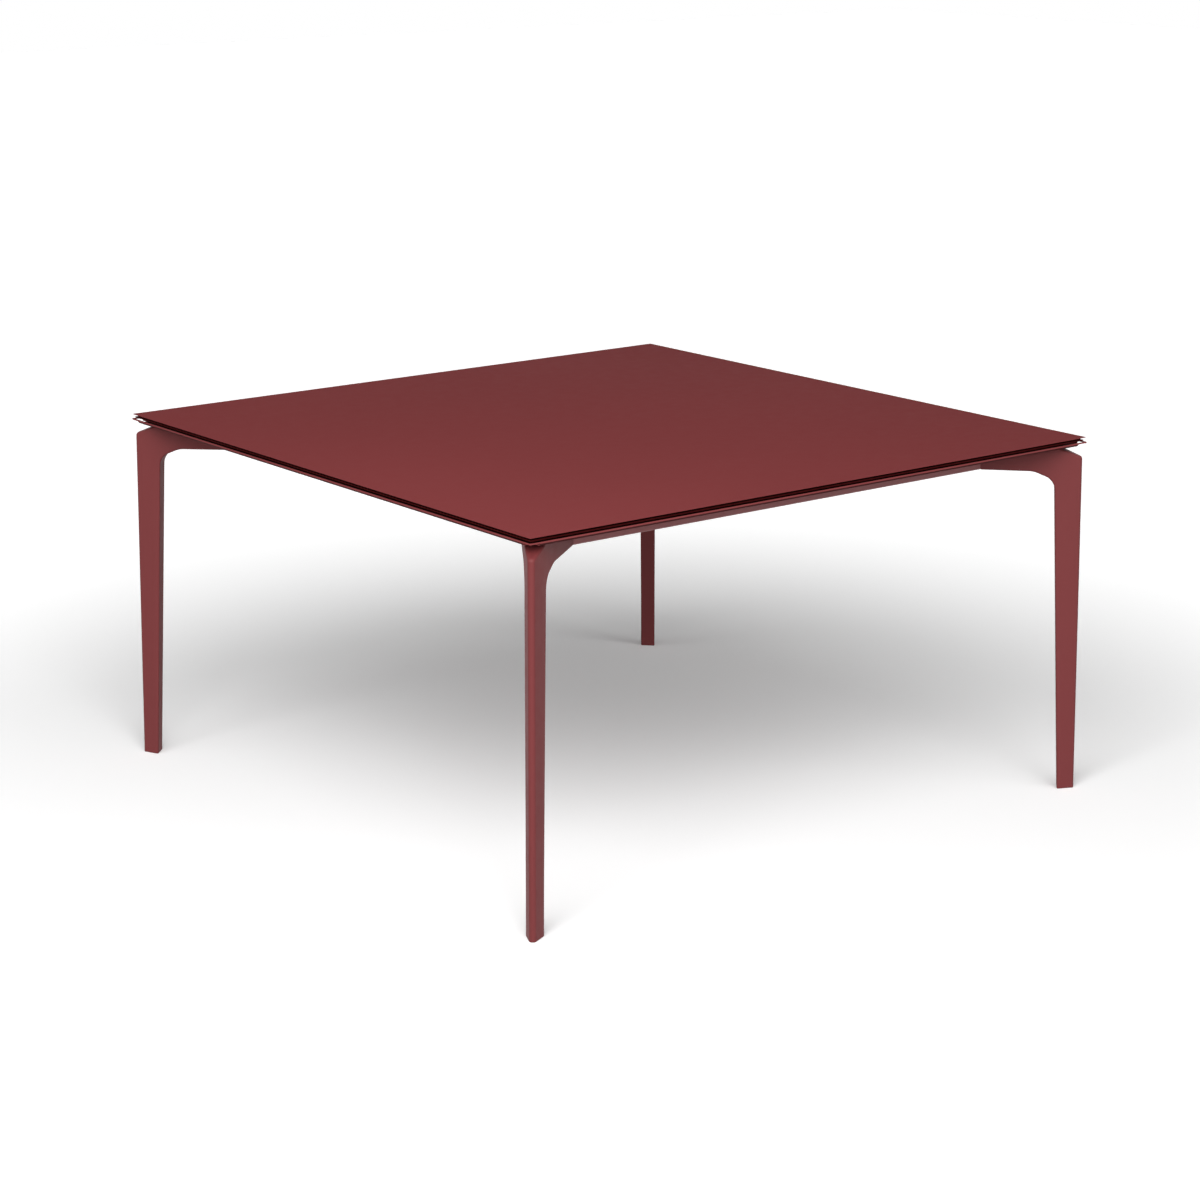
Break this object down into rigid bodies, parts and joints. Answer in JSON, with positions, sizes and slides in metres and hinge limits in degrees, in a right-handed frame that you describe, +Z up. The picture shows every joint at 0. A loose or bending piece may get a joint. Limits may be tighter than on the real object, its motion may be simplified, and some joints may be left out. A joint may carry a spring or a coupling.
{
  "type": "square dining table",
  "caption": "Square dining table: a thin top floats over a folded metal edge tray, on wedge-shaped corner legs that turn in under the frame and stand on levelling feet.",
  "frame": {"origin": "on the floor, under the centre of the table", "axes": "+Z up; +X and +Y along the sides of the square, with the picture's front corner at (-X, -Y) and its right corner at (+X, -Y)"},
  "size_m": [1.4108, 1.4108, 0.744],
  "materials": {
    "red_coat": "satin",
    "dark_core": "matte",
    "dark_backer": "matte",
    "strip_rubber": "matte",
    "plain_aluminium": "satin",
    "fastener_steel": "satin",
    "foot_plastic": "matte"
  },
  "bodies": {
    "table": {"bar_bracket_back_left": "plain_aluminium", "bar_bracket_back_right": "plain_aluminium", "bar_bracket_front_left": "plain_aluminium", "bar_bracket_front_right": "plain_aluminium", "bar_pad_back": "strip_rubber", "bar_pad_front": "strip_rubber", "bracket_screws": "fastener_steel", "corner_key_back": "plain_aluminium", "corner_key_front": "plain_aluminium", "corner_key_left": "plain_aluminium", "corner_key_right": "plain_aluminium", "cross_bar_back": "red_coat", "cross_bar_front": "red_coat", "edge_tray_back_left": "red_coat", "edge_tray_back_right": "red_coat", "edge_tray_front_left": "red_coat", "edge_tray_front_right": "red_coat", "foot_inserts": "fastener_steel", "leg_back": "red_coat", "leg_bolts": "fastener_steel", "leg_front": "red_coat", "leg_left": "red_coat", "leg_right": "red_coat", "leg_washers": "fastener_steel", "rail_back_left": "red_coat", "rail_back_right": "red_coat", "rail_front_left": "red_coat", "rail_front_right": "red_coat", "spacer_strip_back_left": "strip_rubber", "spacer_strip_back_right": "strip_rubber", "spacer_strip_front_left": "strip_rubber", "spacer_strip_front_right": "strip_rubber", "top_backer": "dark_backer", "top_core": "dark_core", "top_skin": "red_coat", "tray_screws": "fastener_steel"},
    "foot_front": {"levelling_foot_front": "foot_plastic"},
    "foot_right": {"levelling_foot_right": "foot_plastic"},
    "foot_back": {"levelling_foot_back": "foot_plastic"},
    "foot_left": {"levelling_foot_left": "foot_plastic"}
  },
  "joints": [
    {"name": "foot_front_travel", "type": "slide", "parent": "table", "child": "foot_front", "axis": [0, 0, -1], "range_m": [0, 0.008]},
    {"name": "foot_right_travel", "type": "slide", "parent": "table", "child": "foot_right", "axis": [0, 0, -1], "range_m": [0, 0.008]},
    {"name": "foot_back_travel", "type": "slide", "parent": "table", "child": "foot_back", "axis": [0, 0, -1], "range_m": [0, 0.008]},
    {"name": "foot_left_travel", "type": "slide", "parent": "table", "child": "foot_left", "axis": [0, 0, -1], "range_m": [0, 0.008]}
  ]
}
